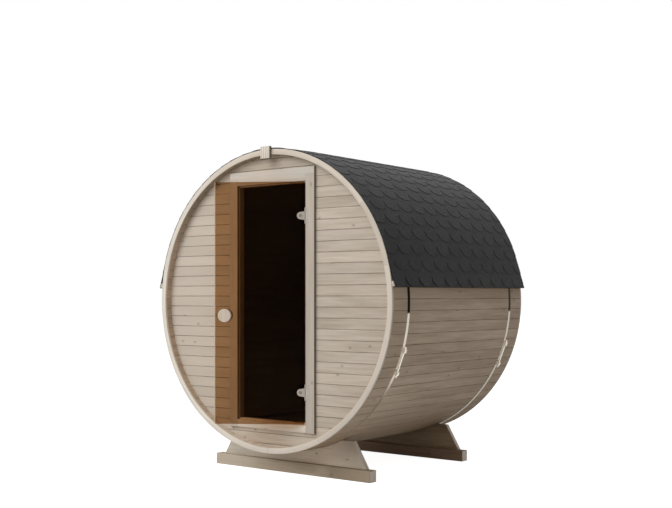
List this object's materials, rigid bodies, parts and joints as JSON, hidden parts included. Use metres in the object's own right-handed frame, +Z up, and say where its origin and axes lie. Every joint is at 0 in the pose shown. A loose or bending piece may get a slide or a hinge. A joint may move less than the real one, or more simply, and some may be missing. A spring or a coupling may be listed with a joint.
{
  "type": "barrel sauna",
  "caption": "Round barrel-shaped outdoor sauna cabin of wooden staves on two cradles, with a felt roof cover, steel hoops and a tinted glass door that swings outwards.",
  "frame": {"origin": "on the ground, under the middle of the box round the cabin with its door ajar", "axes": "+Z up, the door end faces -Y, +X to the right as one faces the door"},
  "size_m": [2.1032, 1.995, 2.2246],
  "materials": {
    "stave_wood": "matt weathered softwood",
    "wall_wood": "matt softwood boards",
    "pale_wood": "matt pale softwood",
    "roof_felt": "mineral-faced bitumen shingle",
    "hoop_steel": "satin steel strip",
    "hinge_metal": "satin",
    "bronze_glass": "clear bronze tint"
  },
  "bodies": {
    "cabin": {"front_cradle_beam": "stave_wood", "front_cradle_saddle": "stave_wood", "rear_cradle_beam": "stave_wood", "rear_cradle_saddle": "stave_wood", "front_wall_left": "wall_wood", "front_wall_right": "wall_wood", "front_wall_over_door": "wall_wood", "front_wall_under_door": "wall_wood", "rear_wall": "wall_wood", "door_header": "wall_wood", "door_post_left": "wall_wood", "door_post_right": "wall_wood", "door_sill": "wall_wood", "front_ring_left": "pale_wood", "front_ring_right": "pale_wood", "front_keystone": "pale_wood", "rear_ring_left": "pale_wood", "rear_ring_right": "pale_wood", "rear_keystone": "pale_wood", "eave_batten_left": "pale_wood", "eave_batten_right": "pale_wood", "roof_left": "roof_felt", "roof_right": "roof_felt", "front_hoop": "hoop_steel", "rear_hoop": "hoop_steel", "front_hoop_tensioner": "hoop_steel", "rear_hoop_tensioner": "hoop_steel", "floor_boards": "stave_wood", "floor_bearers": "stave_wood", "upper_hinge_bracket": "hinge_metal", "lower_hinge_bracket": "hinge_metal", "staves_1_oclock": "stave_wood", "staves_2_oclock": "stave_wood", "staves_3_oclock": "stave_wood", "staves_4_oclock": "stave_wood", "staves_5_oclock": "stave_wood", "staves_6_oclock": "stave_wood", "staves_7_oclock": "stave_wood", "staves_8_oclock": "stave_wood", "staves_9_oclock": "stave_wood", "staves_10_oclock": "stave_wood", "staves_11_oclock": "stave_wood", "staves_12_oclock": "stave_wood"},
    "door": {"door_glass": "bronze_glass", "upper_hinge_leaf": "hinge_metal", "lower_hinge_leaf": "hinge_metal", "door_knobs": "pale_wood"}
  },
  "joints": [
    {"name": "door_swing", "type": "hinge", "parent": "cabin", "child": "door", "pos_m": [0.306, -0.6639, 1.183], "axis": [0, 0, 1], "range_deg": [-32.5, 77.5]}
  ]
}
